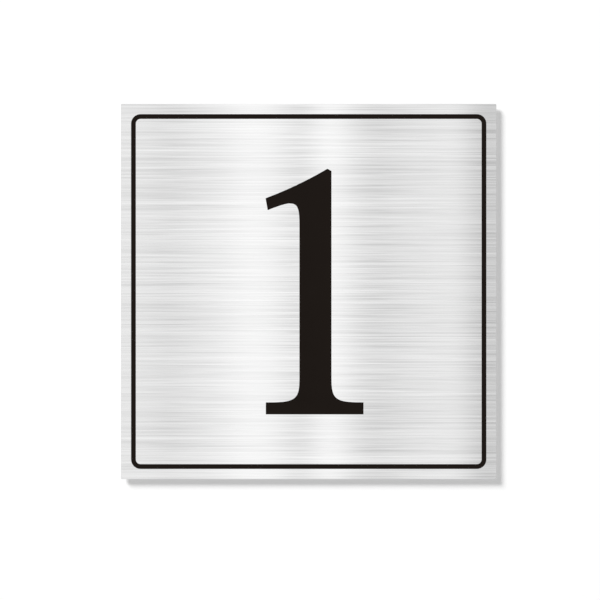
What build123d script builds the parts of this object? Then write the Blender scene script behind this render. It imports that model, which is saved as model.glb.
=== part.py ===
from build123d import *
import os

os.makedirs("parts", exist_ok=True)

# House number sign: a brushed steel plate with an engraved numeral and border, both filled with
# black enamel, held on the wall by strips of foam tape.
# Millimetres. +Z is up, and the face looks towards -Y. The origin is the middle of the wall plane,
# on the back of the middle strip of tape.

# The plate
plate_width = 150.0
plate_height = 150.0
plate_thickness = 1.5
plate_corner_radius = 0.2
plate_edge_radius = 0.1

# The engraving and the enamel in it
engraving_depth = 0.3
enamel_setback = 0.05
cutter_radius = 0.15

# The border line, measured in from the plate's edge
border_side_margin = 4.0
border_end_margin = 4.1
border_line_width = 1.9
border_corner_radius = 3.8

# The numeral: its stem stands a little to the right, because the flag carries weight on the left
numeral_height = 98.2
stem_width = 12.8
stem_offset = 2.7

# The foot, and the brackets that sweep down to it from the stem
foot_thickness = 4.8
foot_reach_left = 13.45
foot_reach_right = 12.8
bracket_reach = 12.0
bracket_height = 9.4
bracket_pull = 0.865

# The stem's head: a short slope down to the right from the apex
apex_inset = 1.6
apex_drop = 0.95

# The flag: its top edge sags from the apex to the tip, and its end is cut at a slant
flag_reach = 13.55
flag_drop = 11.8
flag_sag = 0.6
flag_end_height = 4.8
flag_end_slant = 0.85

# Under the flag: a slope up to the crown, and a tight sweep from there into the stem
underside_slope = 0.46
underside_pull = 0.2
crown_reach = 4.1
crown_drop = 13.9
armpit_height = 9.1
armpit_pull = 0.83

# The foam tape: upright strips, inset from the plate's edges so that none of it shows
tape_width = 25.0
tape_thickness = 2.0
tape_side_margin = 12.5
tape_end_margin = 15.0

# Layers, from the wall outwards
wall = Plane.XZ
plate_back = wall.offset(tape_thickness)
plate_front = plate_back.offset(plate_thickness)
engraving_floor = plate_front.offset(-engraving_depth)
enamel_thickness = engraving_depth - enamel_setback


def numeral_face():
    """The numeral 1 with its slab foot, bracketed serifs and flag, centred on the plate's height."""
    top = numeral_height / 2
    baseline = top - numeral_height
    stem_left = stem_offset - stem_width / 2
    stem_right = stem_offset + stem_width / 2
    foot_top = baseline + foot_thickness
    foot_left = stem_left - foot_reach_left
    foot_right = stem_right + foot_reach_right
    bracket_top = foot_top + bracket_height

    apex = (stem_right - apex_inset, top)
    shoulder = (stem_right, top - apex_drop)
    foot_corners = [
        (foot_right, foot_top),
        (foot_right, baseline),
        (foot_left, baseline),
        (foot_left, foot_top),
    ]
    crown = (stem_left - crown_reach, top - crown_drop)
    flag_tip = (stem_left - flag_reach, top - flag_drop)
    flag_heel = (flag_tip[0] + flag_end_slant, flag_tip[1] - flag_end_height)

    def bracket(stem_side, outward):
        """A sweep from the stem's side onto the foot; outward is 1 to the right, -1 to the left."""
        return Bezier(
            (stem_side, bracket_top),
            (stem_side, bracket_top - bracket_pull * bracket_height),
            (stem_side + outward * (1 - bracket_pull) * bracket_reach, foot_top),
            (stem_side + outward * bracket_reach, foot_top),
        )

    def armpit():
        """The sweep from the crown into the stem's left side."""
        return Bezier(
            crown,
            (crown[0] + armpit_pull * crown_reach, crown[1]),
            (stem_left, crown[1] - (1 - armpit_pull) * armpit_height),
            (stem_left, crown[1] - armpit_height),
        )

    def underside():
        """The flag's lower edge, from the heel up to the crown."""
        pull = underside_pull * (crown[0] - flag_heel[0])
        return Bezier(
            flag_heel,
            (flag_heel[0] + pull, flag_heel[1] + pull * underside_slope),
            (crown[0] - pull, crown[1]),
            crown,
        )

    right_bracket = bracket(stem_right, 1)
    left_bracket = bracket(stem_left, -1)
    sweep = armpit()
    outline = [
        Line(apex, shoulder),
        Line(shoulder, right_bracket @ 0),
        right_bracket,
        Polyline(right_bracket @ 1, *foot_corners, left_bracket @ 1),
        left_bracket,
        Line(left_bracket @ 0, sweep @ 1),
        sweep,
        underside(),
        Line(flag_heel, flag_tip),
        SagittaArc(flag_tip, apex, -flag_sag),
    ]
    face = make_face(outline)
    sharp_corners = [apex, shoulder, *foot_corners, flag_tip, flag_heel]
    cut_corners = [face.vertices().sort_by_distance(corner)[0] for corner in sharp_corners]
    return fillet(cut_corners, cutter_radius)


def border_face():
    """The border line: a ring of even width that follows the plate's edges."""
    outer_width = plate_width - 2 * border_side_margin
    outer_height = plate_height - 2 * border_end_margin
    inner_width = outer_width - 2 * border_line_width
    inner_height = outer_height - 2 * border_line_width
    outer = RectangleRounded(outer_width, outer_height, border_corner_radius)
    inner = RectangleRounded(inner_width, inner_height, border_corner_radius - border_line_width)
    return outer - inner


def plate_blank():
    """The plain plate, with its cut edges broken by hand."""
    outline = RectangleRounded(plate_width, plate_height, plate_corner_radius)
    blank = extrude(plate_back * outline, plate_thickness)
    front_and_back = blank.faces().filter_by(Axis.Y)
    return fillet(front_and_back.edges(), plate_edge_radius)


def tape_strip(centre_x):
    """One upright strip of foam tape, cut square, between the wall and the plate's back."""
    tape_length = plate_height - 2 * tape_end_margin
    return extrude(wall * Pos(centre_x, 0) * Rectangle(tape_width, tape_length), tape_thickness)


numeral = numeral_face()
border = border_face()

face_plate = plate_blank()
for engraved in (numeral, border):
    face_plate -= extrude(engraving_floor * engraved, engraving_depth)

numeral_one = extrude(engraving_floor * numeral, enamel_thickness)
border_line = extrude(engraving_floor * border, enamel_thickness)

outer_strip_x = plate_width / 2 - tape_side_margin - tape_width / 2
strip_places = {"left": -outer_strip_x, "middle": 0.0, "right": outer_strip_x}

export_step(face_plate, "parts/face_plate.step")
export_step(numeral_one, "parts/numeral_one.step")
export_step(border_line, "parts/border_line.step")
for side, centre_x in strip_places.items():
    export_step(tape_strip(centre_x), f"parts/tape_strip_{side}.step")
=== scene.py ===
# %% [markdown]
# # A brushed steel house number
#
# The real object is a square plate of brushed stainless steel, 1.5 mm thick, with the numeral 1 and a
# thin border engraved in its face. Both engravings are filled with black enamel. Three strips of foam
# tape on the back hold it on the wall, so it stands a few millimetres off and drops a narrow shadow.
#
# A flat, pale, almost empty object is a hard one to make look real. There is no form to look at, so
# all of it rests on three things: the grain of the brushing, the edge between steel and enamel, and
# the shadow. The lesson takes them one at a time.
#
# The plate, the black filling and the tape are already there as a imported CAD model. It gives each
# piece its size and place, and nothing here moves it.

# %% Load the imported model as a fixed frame
from math import pi

import bpy
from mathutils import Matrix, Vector


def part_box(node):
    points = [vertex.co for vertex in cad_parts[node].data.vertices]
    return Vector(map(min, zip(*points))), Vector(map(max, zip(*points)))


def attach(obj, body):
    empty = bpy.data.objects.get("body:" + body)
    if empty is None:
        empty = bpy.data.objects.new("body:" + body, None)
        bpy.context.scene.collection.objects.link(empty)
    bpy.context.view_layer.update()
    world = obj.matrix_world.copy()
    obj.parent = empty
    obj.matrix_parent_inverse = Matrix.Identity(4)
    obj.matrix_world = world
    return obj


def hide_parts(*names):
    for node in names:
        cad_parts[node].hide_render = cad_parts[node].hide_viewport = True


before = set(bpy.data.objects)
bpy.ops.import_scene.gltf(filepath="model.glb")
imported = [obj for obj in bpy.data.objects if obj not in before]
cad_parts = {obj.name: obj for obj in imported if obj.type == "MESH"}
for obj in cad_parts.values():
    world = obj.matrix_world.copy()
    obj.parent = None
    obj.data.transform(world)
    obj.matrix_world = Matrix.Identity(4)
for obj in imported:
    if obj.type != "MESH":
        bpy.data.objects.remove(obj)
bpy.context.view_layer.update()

MM = 0.001
plate_low, plate_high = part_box("face_plate")
plate_width = plate_high.x - plate_low.x
plate_face_y = plate_low.y
plate_back_y = plate_high.y
print("CAD nodes:", sorted(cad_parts))
print("plate, mm:", [round(side / MM, 2) for side in plate_high - plate_low])

# %% [markdown]
# ## The camera
#
# The photograph looks straight at the plate: its sides run parallel to the picture's, and no cut edge
# shows. A wide lens would have to come close and would mirror a wide arc of the studio in the steel,
# so a portrait length is used from further off. Its distance follows from the plate's width in the
# picture, and its small step to the left and down from where the plate's middle lies there.

# %% Place the camera
picture_side_px = 600
plate_left_px, plate_right_px = 121.07, 496.37
plate_top_px, plate_bottom_px = 103.88, 479.18
lens_mm = 85.0
sensor_mm = 36.0

px = plate_width / (plate_right_px - plate_left_px)
right_of_middle = (plate_left_px + plate_right_px) / 2 - picture_side_px / 2
above_middle = picture_side_px / 2 - (plate_top_px + plate_bottom_px) / 2
camera_distance = picture_side_px * px * lens_mm / sensor_mm

bpy.ops.object.camera_add(
    location=(-right_of_middle * px, plate_face_y - camera_distance, -above_middle * px),
    rotation=(pi / 2, 0.0, 0.0),
)
camera = bpy.context.object
camera.name = "camera"
camera.data.lens = lens_mm
camera.data.sensor_width = sensor_mm
bpy.context.scene.camera = camera
bpy.context.scene.view_settings.view_transform = "Standard"
print("camera distance, mm:", round(camera_distance / MM, 1))

# %% [markdown]
# ## Small helpers for materials
#
# A material is a tree of small nodes. These helpers keep the trees short to read: one adds a node and
# sets its plain values, one does arithmetic, and one makes a noise that is stretched to a grain of a
# given length and height. The patterns use Object coordinates, so they are fixed to the plate in
# metres and don't depend on how it is unwrapped.

# %% Define the node helpers
def add_node(tree, kind, inputs=None, **settings):
    """A new node, with its properties set and its sockets given a value or a link."""
    node = tree.nodes.new(kind)
    for name, value in settings.items():
        setattr(node, name, value)
    for name, value in (inputs or {}).items():
        if isinstance(value, bpy.types.NodeSocket):
            tree.links.new(value, node.inputs[name])
        else:
            node.inputs[name].default_value = value
    return node


def calc(tree, operation, *values, clamp=False):
    """One Math node; each value is a number or another node's output."""
    return add_node(
        tree, "ShaderNodeMath", dict(enumerate(values)), operation=operation, use_clamp=clamp
    ).outputs[0]


def weighted_sum(tree, plain, *terms):
    """The plain value plus each (weight, value) pair multiplied out."""
    total = plain
    for weight, value in terms:
        total = calc(tree, "MULTIPLY_ADD", value, weight, total)
    return total


def blend(tree, share, low, high):
    """low where share is 0, and high where it is 1."""
    return add_node(
        tree, "ShaderNodeMix", {"Factor": share, "A": low, "B": high}, data_type="FLOAT"
    ).outputs["Result"]


def grain(tree, place, size_mm, offset=0.0, detail=2.0, roughness=0.5):
    """Noise from -0.5 to 0.5 whose grains measure size_mm; offset takes it from another place."""
    spread = add_node(
        tree,
        "ShaderNodeMapping",
        {
            "Vector": place,
            "Location": (offset, offset, offset),
            "Scale": tuple(1 / (side * MM) for side in size_mm),
        },
    )
    noise = add_node(
        tree,
        "ShaderNodeTexNoise",
        {"Vector": spread.outputs[0], "Scale": 1.0, "Detail": detail, "Roughness": roughness},
    )
    return calc(tree, "SUBTRACT", noise.outputs["Fac"], 0.5)


def bump(tree, relief, height, strength=1.0):
    """The normal of a surface on which a relief of 1 stands height metres proud."""
    return add_node(
        tree, "ShaderNodeBump", {"Height": relief, "Distance": height, "Strength": strength}
    ).outputs["Normal"]


def new_material(name):
    """An empty material with a Principled shader, its tree and its Object coordinates."""
    material = bpy.data.materials.new(name)
    material.use_nodes = True
    tree = material.node_tree
    shader = tree.nodes["Principled BSDF"]
    place = add_node(tree, "ShaderNodeTexCoord").outputs["Object"]
    return material, tree, shader, place


print("node helpers ready")

# %% [markdown]
# ## The painted bands of light on the steel
#
# In a bright studio a brushed face shows soft upright bands where the lights stand. They could be left
# to lamps beside the camera, but a plain even studio mirrors none, and lamps strong enough to draw the
# bands would spoil the light on the wall and the enamel. So the bands are painted reflections in the
# steel's own tone: a plain value and seven soft bells, the brighter ones painted highlights and the
# darker ones painted shade, each with a middle, a half width and a strength. The price is that they
# stay in place when the camera moves.

# %% Describe the painted reflection bands across the face, in millimetres from the middle
plain_steel = 0.8
bands = {
    "left shoulder": (-56.0, 10.0, -0.05),
    "left glow": (-22.0, 15.0, 0.13),
    "gap between the glows": (-2.0, 8.5, -0.105),
    "right glow": (8.0, 13.0, 0.185),
    "dark flank": (23.0, 16.5, -0.1),
    "right shoulder": (58.0, 7.0, 0.02),
    "right fall-off": (72.5, 10.0, -0.195),
}


def painted_bands_across(tree, x_mm):
    """The steel's tone at x_mm: the painted reflection bands on the plain tone."""
    total = plain_steel
    for middle_mm, half_width_mm, strength in bands.values():
        offset = calc(tree, "DIVIDE", calc(tree, "SUBTRACT", x_mm, middle_mm), half_width_mm)
        bell = calc(tree, "EXPONENT", calc(tree, "MULTIPLY", calc(tree, "POWER", offset, 2.0), -1.0))
        total = calc(tree, "MULTIPLY_ADD", bell, strength, total)
    return total


print("bands:", ", ".join(bands))

# %% [markdown]
# ## The brushing
#
# The face was brushed from side to side with an abrasive belt. That leaves thousands of grooves, each
# a fraction of a millimetre high and a few centimetres long. One noise could draw them, but grooves of
# a single size look like cloth. So five grains are added up, from the broad marks of the belt down to
# hairlines that only a close view shows. Three observations make the rest of the pattern:
#
# 1. the streaks are strong where the painted bands leave the metal dull and nearly vanish where the
#    painted highlights make it bright, so they are multiplied onto what the painted tone *lacks* to be
#    white, and not added on top;
# 2. they are firmest a little left of the middle, where the belt pressed hardest, and fade evenly
#    towards both sides;
# 3. the bands have no clean edge, since each groove carries the light a little further or less far, so
#    the place where a band is looked up is pushed sideways by the same kind of grain.

# %% Brush the face
belt_mark_size_mm = (85.0, 85.0, 1.4)
long_groove_size_mm = (68.0, 68.0, 0.42)
groove_size_mm = (36.0, 36.0, 0.34)
scratch_size_mm = (18.0, 18.0, 0.22)
hairline_size_mm = (11.0, 11.0, 0.04)
band_waver_mm = 6.0
least_depth = 0.05
firmest_x_mm = -9.0
side_fade = 0.5
face_roughness = 0.3


def face_finish(tree, place, x_mm):
    """The tone with its painted reflection bands, the roughness and the relief of the brushed face."""
    belt_marks = grain(tree, place, belt_mark_size_mm, offset=31.6, detail=0.0)
    long_grooves = grain(tree, place, long_groove_size_mm, offset=23.4, detail=0.0)
    grooves = grain(tree, place, groove_size_mm, offset=5.3, detail=0.0)
    scratches = grain(tree, place, scratch_size_mm, offset=7.7, detail=0.0)
    hairlines = grain(tree, place, hairline_size_mm, offset=1.3, detail=1.0)
    streaks = weighted_sum(
        tree,
        0.0,
        (0.4, belt_marks),
        (1.2, long_grooves),
        (0.8, grooves),
        (0.45, scratches),
        (1.1, hairlines),
    )

    # The painted reflection bands are looked up at a place that the grain pushes sideways.
    waver = grain(tree, place, groove_size_mm, offset=11.9, detail=1.0)
    wavering_x = calc(tree, "MULTIPLY_ADD", waver, band_waver_mm, x_mm)
    painted_band_tone = painted_bands_across(tree, wavering_x)
    lack = calc(tree, "SUBTRACT", 1.0 + least_depth, painted_band_tone)

    half_width_mm = plate_width / 2 / MM
    off_firmest_mm = calc(tree, "ABSOLUTE", calc(tree, "SUBTRACT", x_mm, firmest_x_mm))
    pressure = calc(tree, "MULTIPLY_ADD", off_firmest_mm, -side_fade / half_width_mm, 1.0)
    depth = calc(tree, "MULTIPLY", lack, pressure)

    tone = calc(tree, "SUBTRACT", painted_band_tone, calc(tree, "MULTIPLY", depth, streaks))
    rough = weighted_sum(tree, face_roughness, (0.12, grooves), (0.1, hairlines))
    relief = weighted_sum(tree, 0.0, (1.0, grooves), (0.8, scratches), (0.5, hairlines))
    return tone, rough, relief


print("groove heights, mm:", belt_mark_size_mm[2], "down to", hairline_size_mm[2])

# %% [markdown]
# ## The cut edges and the back
#
# The cutter leaves fine marks on the plate's edges and on the walls of the engraving, all running from
# face to back. The back is the sheet's own mill finish: greyer, with faint rolling lines, short
# scratches from handling and a little staining. Both need a grain of their own, because brushing that
# ran on round the corner would give the plate away as a block with a picture on it.

# %% Finish the cut edges and the back
cutter_mark_size_mm = (0.12, 3.0, 0.12)
edge_steel = 0.62
edge_roughness = 0.4
rolling_line_size_mm = (90.0, 90.0, 0.8)
mill_scratch_size_mm = (15.0, 15.0, 0.07)
mottle_size_mm = (1.2, 1.2, 1.2)
stain_size_mm = (38.0, 38.0, 26.0)
back_steel = 0.58
back_roughness = 0.42


def edge_finish(tree, place):
    """The tone, roughness and relief of the cut edges."""
    cutter_marks = grain(tree, place, cutter_mark_size_mm)
    tone = weighted_sum(tree, edge_steel, (0.35, cutter_marks))
    rough = weighted_sum(tree, edge_roughness, (0.2, cutter_marks))
    return tone, rough, cutter_marks


def back_finish(tree, place):
    """The tone, roughness and relief of the mill-finished back."""
    rolling_lines = grain(tree, place, rolling_line_size_mm, offset=5.0, detail=3.0)
    mill_scratches = grain(tree, place, mill_scratch_size_mm, offset=14.0, detail=1.0)
    mottle = grain(tree, place, mottle_size_mm, detail=3.0)
    stains = grain(tree, place, stain_size_mm, offset=9.0, detail=3.0, roughness=0.6)
    tone = weighted_sum(
        tree, back_steel, (0.2, rolling_lines), (0.2, mill_scratches), (0.1, mottle), (0.16, stains)
    )
    rough = weighted_sum(tree, back_roughness, (0.15, mottle))
    return tone, rough, mottle


print("tones: edge", edge_steel, "and back", back_steel)

# %% [markdown]
# ## One steel for the whole plate
#
# Face, edges and back are one sheet, and the CAD plate is one mesh that stays as it is. Three materials
# would need its faces sorted by hand. One material can tell them apart by itself: a point belongs to
# the face or to the back if it lies within a few thousandths of a millimetre of it.
#
# The long grooves also spread a highlight across themselves, so the shader is anisotropic, with its
# tangent upright: a lamp's mirror image is drawn out up and down, across the brushing.

# %% Mix the steel and give it to the plate
skin = 0.006 * MM
groove_depth = 0.004 * MM
steel_anisotropy = 0.7


def brushed_steel():
    """The plate's steel: brushed face, cut edges and mill-finished back."""
    material, tree, shader, place = new_material("brushed_steel")
    xyz = add_node(tree, "ShaderNodeSeparateXYZ", {"Vector": place})
    x_mm = calc(tree, "DIVIDE", xyz.outputs["X"], MM)
    on_face = calc(tree, "LESS_THAN", xyz.outputs["Y"], plate_face_y + skin)
    on_back = calc(tree, "GREATER_THAN", xyz.outputs["Y"], plate_back_y - skin)

    finishes = zip(face_finish(tree, place, x_mm), edge_finish(tree, place), back_finish(tree, place))
    tone, rough, relief = [
        blend(tree, on_back, blend(tree, on_face, edge, face), back) for face, edge, back in finishes
    ]
    upright = add_node(tree, "ShaderNodeCombineXYZ", {"Z": 1.0}).outputs["Vector"]

    shader.inputs["Metallic"].default_value = 1.0
    shader.inputs["Anisotropic"].default_value = steel_anisotropy
    tree.links.new(upright, shader.inputs["Tangent"])
    tree.links.new(tone, shader.inputs["Base Color"])
    tree.links.new(rough, shader.inputs["Roughness"])
    tree.links.new(bump(tree, relief, groove_depth), shader.inputs["Normal"])
    return material


steel = brushed_steel()
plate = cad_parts["face_plate"]
plate.data.materials.clear()
plate.data.materials.append(steel)
print("steel nodes:", len(steel.node_tree.nodes))

# %% [markdown]
# ## Small helpers for modelling
#
# An operator acts on whatever is selected, and loading the frame leaves all of it selected. So each
# piece starts with nothing selected, and then the faces, edges or corners that the next step needs are
# picked by their place or by the way they look.

# %% Define the modelling helpers
def deselect_all():
    """Leaves edit mode, with nothing selected."""
    if bpy.context.object and bpy.context.object.mode != "OBJECT":
        bpy.ops.object.mode_set(mode="OBJECT")
    bpy.ops.object.select_all(action="DESELECT")


def start_editing(piece):
    """Makes piece the only selected object and opens its mesh, with none of it selected."""
    deselect_all()
    piece.select_set(True)
    bpy.context.view_layer.objects.active = piece
    bpy.ops.object.mode_set(mode="EDIT")
    bpy.ops.mesh.select_all(action="DESELECT")


def pick(piece, kind, wanted):
    """Selects only the faces, edges or corners of piece that wanted() says yes to."""
    bpy.ops.mesh.select_mode(type=kind)
    bpy.ops.mesh.select_all(action="DESELECT")
    bpy.ops.object.mode_set(mode="OBJECT")
    mesh = piece.data
    parts = {"FACE": mesh.polygons, "EDGE": mesh.edges, "VERT": mesh.vertices}[kind]
    for part in parts:
        part.select = wanted(part)
    bpy.ops.object.mode_set(mode="EDIT")


def finish_piece(piece, material, slot, *nodes):
    """Gives piece its material and its place on the object, in the stead of the CAD nodes."""
    deselect_all()
    piece.data.materials.clear()
    piece.data.materials.append(material)
    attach(piece, "root")
    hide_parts(*nodes)
    print(piece.name, "faces:", len(piece.data.polygons))


print("modelling helpers ready")

# %% [markdown]
# ## Black enamel
#
# The engraver floods the cuts with enamel, wipes the face and bakes the plate. The enamel dries warm
# black and satin. Where it lies a little thinner the black is paler, in soft clouds, and its skin has
# the fine unevenness of sprayed paint and some dust. A plain dark colour would give the same picture
# from a step away, but close up it would look like a hole in the steel.

# %% Mix the enamel
cloud_size_mm = (9.0, 9.0, 9.0)
orange_peel_size_mm = (0.5, 0.5, 0.5)
dust_size_mm = (0.15, 0.15, 0.15)
thick_enamel = (0.0088, 0.0057, 0.0041, 1.0)
thin_enamel = (0.0108, 0.0077, 0.0059, 1.0)
enamel_roughness = 0.46
enamel_gloss = 0.06
peel_height = 0.01 * MM


def black_enamel():
    """Warm black enamel with a satin skin, a little uneven as it dries."""
    material, tree, shader, place = new_material("black_enamel")
    clouds = grain(tree, place, cloud_size_mm, detail=3.0)
    orange_peel = grain(tree, place, orange_peel_size_mm, offset=2.0)
    dust = grain(tree, place, dust_size_mm, offset=4.0, detail=1.0)
    thinness = calc(tree, "ADD", clouds, 0.5, clamp=True)
    colour = add_node(
        tree,
        "ShaderNodeMix",
        {"Factor": thinness, "A": thick_enamel, "B": thin_enamel},
        data_type="RGBA",
    ).outputs["Result"]
    rough = weighted_sum(tree, enamel_roughness, (0.12, clouds), (0.1, dust))
    relief = weighted_sum(tree, 0.0, (1.0, orange_peel), (0.15, dust))

    shader.inputs["Specular IOR Level"].default_value = enamel_gloss
    tree.links.new(colour, shader.inputs["Base Color"])
    tree.links.new(rough, shader.inputs["Roughness"])
    tree.links.new(bump(tree, relief, peel_height, strength=0.6), shader.inputs["Normal"])
    return material


enamel = black_enamel()
print("enamel nodes:", len(enamel.node_tree.nodes))

# %% [markdown]
# ## The enamel's rim
#
# Enamel shrinks as it dries: its middle lies a little below the steel, and its rim stays up where it
# clings to the wall of the cut. That rim is why a filled engraving looks soft at its edge and a printed
# one doesn't.
#
# The CAD node has the right outline and depth, but a flat top. A new curve could be drawn and filled,
# but then two outlines would have to be kept alike. So a copy of the node is taken, its loose triangles
# are merged, and its top is lifted to the rim's height and let down again in two narrow insets. The
# insets together stay narrower than the cutter's radius, so no corner folds over itself.

# %% Shape the enamel of the numeral and of the border
same_point = 0.001 * MM
rim_height = 0.035 * MM
rim_steps = ((0.05 * MM, 0.022 * MM), (0.07 * MM, 0.013 * MM))
enamel_smooth_angle = 0.5
nearly_square_on = 0.9


def is_front(face):
    """Whether a face looks out of the wall, towards someone who reads the sign."""
    return face.normal.y < -nearly_square_on


def filled_engraving(name, node):
    """The enamel in one engraving, from the CAD node that gives its outline and depth."""
    deselect_all()
    piece = bpy.data.objects.new(name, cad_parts[node].data.copy())
    bpy.context.scene.collection.objects.link(piece)
    start_editing(piece)
    bpy.ops.mesh.select_all(action="SELECT")
    bpy.ops.mesh.remove_doubles(threshold=same_point)
    pick(piece, "FACE", is_front)
    bpy.ops.transform.translate(value=(0.0, -rim_height, 0.0))
    for width, drop in rim_steps:
        bpy.ops.mesh.inset(
            thickness=width,
            depth=-drop,
            use_boundary=True,
            use_even_offset=True,
            use_relative_offset=False,
        )
    bpy.ops.object.mode_set(mode="OBJECT")
    bpy.ops.object.shade_smooth_by_angle(angle=enamel_smooth_angle)
    finish_piece(piece, enamel, "black_enamel", node)


filled_engraving("numeral_enamel", "numeral_one")
filled_engraving("border_enamel", "border_line")

# %% [markdown]
# ## Foam tape
#
# Each strip is a closed-cell foam core with a coat of adhesive on both faces. Its cut sides show the
# bare cells. Its faces show the lines of the coating, which run along the roll, and the pale spots
# where a little air is caught. One material serves both, and tells them apart by the way a face looks.

# %% Mix the foam
cell_size_mm = 0.45
coating_line_size_mm = (0.9, 0.9, 60.0)
trapped_air_size_mm = (2.6, 2.6, 2.6)
core_grey = 0.03
adhesive_grey = 0.036
core_roughness = 0.9
adhesive_roughness = 0.4
adhesive_facing = 0.95
spot_rim, spot_middle = 0.1, 0.22
cell_depth = 0.12 * MM


def foam():
    """Dark grey foam: open cells on the cut sides, a coat of adhesive on the faces."""
    material, tree, shader, place = new_material("foam_tape")
    normal = add_node(tree, "ShaderNodeNewGeometry").outputs["Normal"]
    facing = add_node(tree, "ShaderNodeSeparateXYZ", {"Vector": normal})
    facing_y = calc(tree, "ABSOLUTE", facing.outputs["Y"])
    is_adhesive = calc(tree, "GREATER_THAN", facing_y, adhesive_facing)

    cells = add_node(
        tree, "ShaderNodeTexVoronoi", {"Vector": place, "Scale": 1 / (cell_size_mm * MM)}
    ).outputs["Distance"]
    clouds = grain(tree, place, cloud_size_mm, detail=4.0, roughness=0.6)
    coating_lines = grain(tree, place, coating_line_size_mm, offset=6.0)
    air = grain(tree, place, trapped_air_size_mm, offset=2.0)
    pale_spots = add_node(
        tree, "ShaderNodeMapRange", {"Value": air, "From Min": spot_rim, "From Max": spot_middle}
    ).outputs["Result"]

    core_tone = weighted_sum(tree, core_grey, (0.05, cells), (0.03, clouds))
    coat_tone = weighted_sum(
        tree, adhesive_grey, (0.05, coating_lines), (0.05, clouds), (0.035, pale_spots), (0.02, cells)
    )
    coat_rough = weighted_sum(tree, adhesive_roughness, (0.3, clouds), (0.25, pale_spots))
    coat_relief = weighted_sum(tree, 0.0, (0.5, coating_lines), (0.3, cells), (-0.5, pale_spots))
    tone = blend(tree, is_adhesive, core_tone, coat_tone)
    rough = blend(tree, is_adhesive, core_roughness, coat_rough)
    relief = blend(tree, is_adhesive, cells, coat_relief)

    tree.links.new(tone, shader.inputs["Base Color"])
    tree.links.new(rough, shader.inputs["Roughness"])
    tree.links.new(bump(tree, relief, cell_depth, strength=0.8), shader.inputs["Normal"])
    return material


foam_tape = foam()
print("foam nodes:", len(foam_tape.node_tree.nodes))

# %% [markdown]
# ## The strips
#
# A strip is cut square from the roll, and under the plate's pressure its sides belly out a little. One
# ring of corners pushed out along the middle would look like a roof's ridge. So a cube is cut across
# its length into many short pieces and through its thickness into four rows, and each ring of corners
# between the two faces is widened by its share of a rounded belly. Then the ring is shaken by a few
# hundredths of a millimetre, because a knife tears foam more than it cuts it, and each strip gets its
# own shake.

# %% Cut and seat the three strips
belly = 0.12 * MM
ragged = 0.05 * MM
cuts_along = 39
rows_through = 4
foam_smooth_angle = 1.0


def tape_strip(name, node, seed):
    """One strip of foam tape in the place of its CAD node, with sides that belly out."""
    low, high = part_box(node)
    middle = (low + high) / 2
    size = high - low
    deselect_all()
    bpy.ops.mesh.primitive_cube_add(size=1.0, location=middle)
    piece = bpy.context.object
    piece.name = name
    piece.data.name = name
    bpy.ops.transform.resize(value=size, center_override=middle)
    bpy.ops.object.transform_apply(location=True, rotation=False, scale=True)
    start_editing(piece)

    def runs_upright(edge):
        a, b = (piece.data.vertices[i].co for i in edge.vertices)
        return abs(a.z - b.z) > size.z / 2

    pick(piece, "EDGE", runs_upright)
    bpy.ops.mesh.subdivide(number_cuts=cuts_along)
    for row in range(1, rows_through):
        share = row / rows_through
        row_y = low.y + share * size.y
        bpy.ops.mesh.select_all(action="SELECT")
        bpy.ops.mesh.bisect(plane_co=(middle.x, row_y, middle.z), plane_no=(0.0, 1.0, 0.0))
        pick(piece, "VERT", lambda corner: abs(corner.co.y - row_y) < same_point)
        bulge = 4 * share * (1 - share) * belly
        widen = ((size.x + 2 * bulge) / size.x, 1.0, (size.z + 2 * bulge) / size.z)
        bpy.ops.transform.resize(value=widen, center_override=middle)
        bpy.ops.transform.vertex_random(
            offset=ragged, uniform=1.0, normal=0.0, seed=seed * rows_through + row
        )
    bpy.ops.object.mode_set(mode="OBJECT")
    bpy.ops.object.shade_smooth_by_angle(angle=foam_smooth_angle)
    finish_piece(piece, foam_tape, "foam_tape", node)


for seed, side in enumerate(("left", "middle", "right")):
    tape_strip(f"foam_strip_{side}", f"tape_strip_{side}", seed)

# %% [markdown]
# ## The wall and the floor
#
# The sign hangs on a plain white wall. The wall is there to be looked at and to catch the shadow, so
# only the camera sees it. It throws no light back on the steel, as a real wall hardly does on a face
# that looks away from it. Its paint glows a little for the camera, which lifts it to paper white, and
# from behind it is clear, so that a camera there sees the sign's back. The pale floor lies out of the
# photograph's view and shows in the views from above.

# %% Build the wall and the floor
wall_gap = 0.1 * MM
wall_side = 1.6
wall_white = (0.9, 0.9, 0.9, 1.0)
wall_lift = 0.2
floor_drop = 0.45
floor_side = 6.0
floor_white = 0.6
floor_roughness = 0.9
floor_lift = 0.35
floor_cloud_size_mm = (400.0, 400.0, 400.0)


def wall_paint():
    """White paint that only shows from the front, bright enough to be paper white when lit."""
    material, tree, shader, _ = new_material("wall_paint")
    tree.nodes.remove(shader)
    is_camera = add_node(tree, "ShaderNodeLightPath").outputs["Is Camera Ray"]
    glow = calc(tree, "MULTIPLY", is_camera, wall_lift)
    paint = add_node(tree, "ShaderNodeBsdfDiffuse", {"Color": wall_white})
    lift = add_node(tree, "ShaderNodeEmission", {"Strength": glow})
    front = add_node(tree, "ShaderNodeAddShader", {0: paint.outputs[0], 1: lift.outputs[0]})
    clear = add_node(tree, "ShaderNodeBsdfTransparent")
    from_behind = add_node(tree, "ShaderNodeNewGeometry").outputs["Backfacing"]
    surface = add_node(
        tree, "ShaderNodeMixShader", {0: from_behind, 1: front.outputs[0], 2: clear.outputs[0]}
    )
    tree.links.new(surface.outputs[0], tree.nodes["Material Output"].inputs["Surface"])
    return material


def floor_paint():
    """A pale matt floor with a faint cloudiness."""
    material, tree, shader, place = new_material("floor_paint")
    clouds = grain(tree, place, floor_cloud_size_mm, detail=3.0)
    tree.links.new(weighted_sum(tree, floor_white, (0.03, clouds)), shader.inputs["Base Color"])
    shader.inputs["Roughness"].default_value = floor_roughness
    shader.inputs["Emission Color"].default_value = (1.0, 1.0, 1.0, 1.0)
    shader.inputs["Emission Strength"].default_value = floor_lift
    return material


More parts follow.
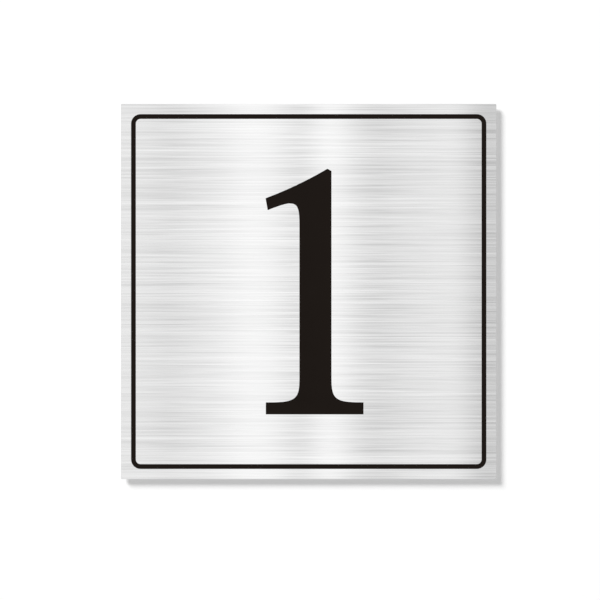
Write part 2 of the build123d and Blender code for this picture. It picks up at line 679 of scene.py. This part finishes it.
deselect_all()
bpy.ops.mesh.primitive_plane_add(
    size=wall_side, location=(0.0, wall_gap, 0.0), rotation=(pi / 2, 0.0, 0.0)
)
wall = bpy.context.object
wall.name = "wall"
wall.data.materials.append(wall_paint())
bpy.ops.mesh.primitive_plane_add(size=floor_side, location=(0.0, 0.0, -floor_drop))
floor = bpy.context.object
floor.name = "floor"
floor.data.materials.append(floor_paint())
for backdrop in (wall, floor):
    for ray in ("diffuse", "glossy", "transmission", "volume_scatter", "shadow"):
        setattr(backdrop, f"visible_{ray}", False)
wall_looks = wall.matrix_world.to_3x3() @ Vector((0.0, 0.0, 1.0))
print("the wall looks along:", [round(v, 2) for v in wall_looks])

# %% [markdown]
# ## The lamps
#
# A key lamp high on the left throws the shadow down to the right, and its width makes the shadow's edge
# soft. Near the wall it would light one corner more than the others, so it hangs 12 m off, about as
# far from every part of the wall. A wider lamp behind does the same work for the sign's back. Both
# are round, and neither shows in the steel, whose bands are painted reflections in its tone already.
#
# A lamp's power is worked out from the light that it should give: a white wall that it faces from d
# metres off looks power / (pi d)^2 bright, and less as the light comes in at a slant.

# %% Hang the lamps
key_from = Vector((-0.9, -1.0, 0.94))
key_side = 4.5
back_from = Vector((0.6, 1.0, 0.8))
back_side = 8.8
lamp_distance = 12.0
lamp_level = 0.575


def hang_lamp(name, towards, side):
    """A round soft lamp that lights a surface parallel to the wall at the lamp level."""
    direction = towards.normalized()
    slant = abs(direction.y)
    deselect_all()
    bpy.ops.object.light_add(type="AREA", location=direction * lamp_distance)
    lamp = bpy.context.object
    lamp.name = name
    lamp.rotation_mode = "QUATERNION"
    lamp.rotation_quaternion = direction.to_track_quat("Z", "Y")
    lamp.data.shape = "DISK"
    lamp.data.size = side
    lamp.data.energy = lamp_level * (pi * lamp_distance) ** 2 / slant
    lamp.visible_camera = False
    lamp.visible_glossy = False
    print(name, "lamp, W:", round(lamp.data.energy, 2))


hang_lamp("key", key_from, key_side)
hang_lamp("back", back_from, back_side)

# %% [markdown]
# ## The surroundings
#
# The steel shows what it mirrors, so for the camera and for mirrored rays the surroundings are white,
# like a light tent. The tent is a little darker to the sides than before and behind the sign, so the
# plate dims as it is seen at a slant and its cut edges stand out. The light that falls on matt things
# stays at a plain level of its own.
#
# Cycles can also aim rays at the surroundings, as it does at lamps. Such a ray doesn't count as a
# mirrored one and would find the tent dim, so the aiming is switched off.

# %% Paint the surroundings
ambient_level = 0.355
tent_side = 0.7
tent_end = 1.0
side_ends_at = 0.25
end_starts_at = 0.9

world = bpy.data.worlds.new("light_tent")
bpy.context.scene.world = world
world.use_nodes = True
world.cycles.sampling_method = "NONE"
sky = world.node_tree
background = sky.nodes["Background"]
path = add_node(sky, "ShaderNodeLightPath")
is_camera = path.outputs["Is Camera Ray"]
seen_or_mirrored = calc(
    sky,
    "MAXIMUM",
    calc(sky, "MAXIMUM", is_camera, path.outputs["Is Glossy Ray"]),
    path.outputs["Is Transmission Ray"],
)
direction = add_node(sky, "ShaderNodeTexCoord").outputs["Generated"]
way = add_node(sky, "ShaderNodeSeparateXYZ", {"Vector": direction})
tent = add_node(
    sky,
    "ShaderNodeMapRange",
    {
        "Value": calc(sky, "ABSOLUTE", way.outputs["Y"]),
        "From Min": side_ends_at,
        "From Max": end_starts_at,
        "To Min": tent_side,
        "To Max": tent_end,
    },
    interpolation_type="SMOOTHSTEP",
)
mirrored = blend(sky, is_camera, tent.outputs["Result"], 1.0)
strength = blend(sky, seen_or_mirrored, ambient_level, mirrored)
background.inputs["Color"].default_value = (1.0, 1.0, 1.0, 1.0)
sky.links.new(strength, background.inputs["Strength"])
print("surroundings: matt things get", ambient_level, "and the tent's sides mirror", tent_side)
